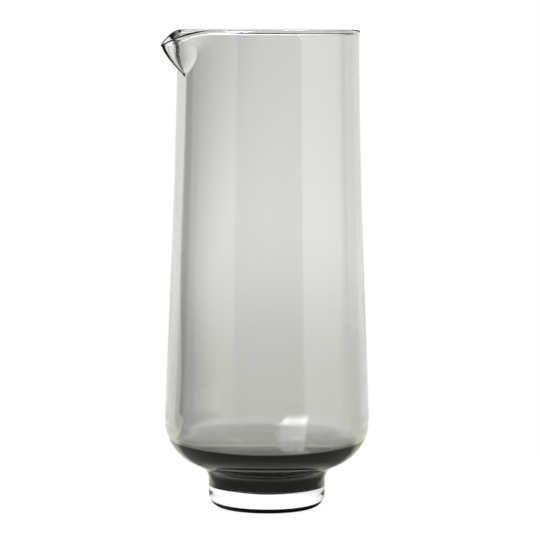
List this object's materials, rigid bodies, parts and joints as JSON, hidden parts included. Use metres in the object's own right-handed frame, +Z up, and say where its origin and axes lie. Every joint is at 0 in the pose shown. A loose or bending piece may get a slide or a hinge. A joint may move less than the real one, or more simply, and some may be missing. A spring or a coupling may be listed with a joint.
{
  "type": "carafe",
  "caption": "Tall smoked-glass carafe with a pinched pouring lip, a wall that draws in to a beaded rim, a dark collar and a clear round foot.",
  "frame": {"origin": "centre of the foot's flat base, where the carafe stands", "axes": "+Z up along the axis that the glass is turned about, -X towards the pouring lip"},
  "size_m": [0.1073, 0.1016, 0.237],
  "materials": {
    "smoked_glass": "fire-polished blown glass, thin smoke grey",
    "dark_smoked_glass": "fire-polished solid glass, smoke grey and almost black at this thickness",
    "clear_glass": "polished solid cast glass, colourless"
  },
  "bodies": {
    "root": {"smoked_bowl": "smoked_glass", "smoked_collar": "dark_smoked_glass", "clear_foot": "clear_glass"}
  },
  "joints": []
}
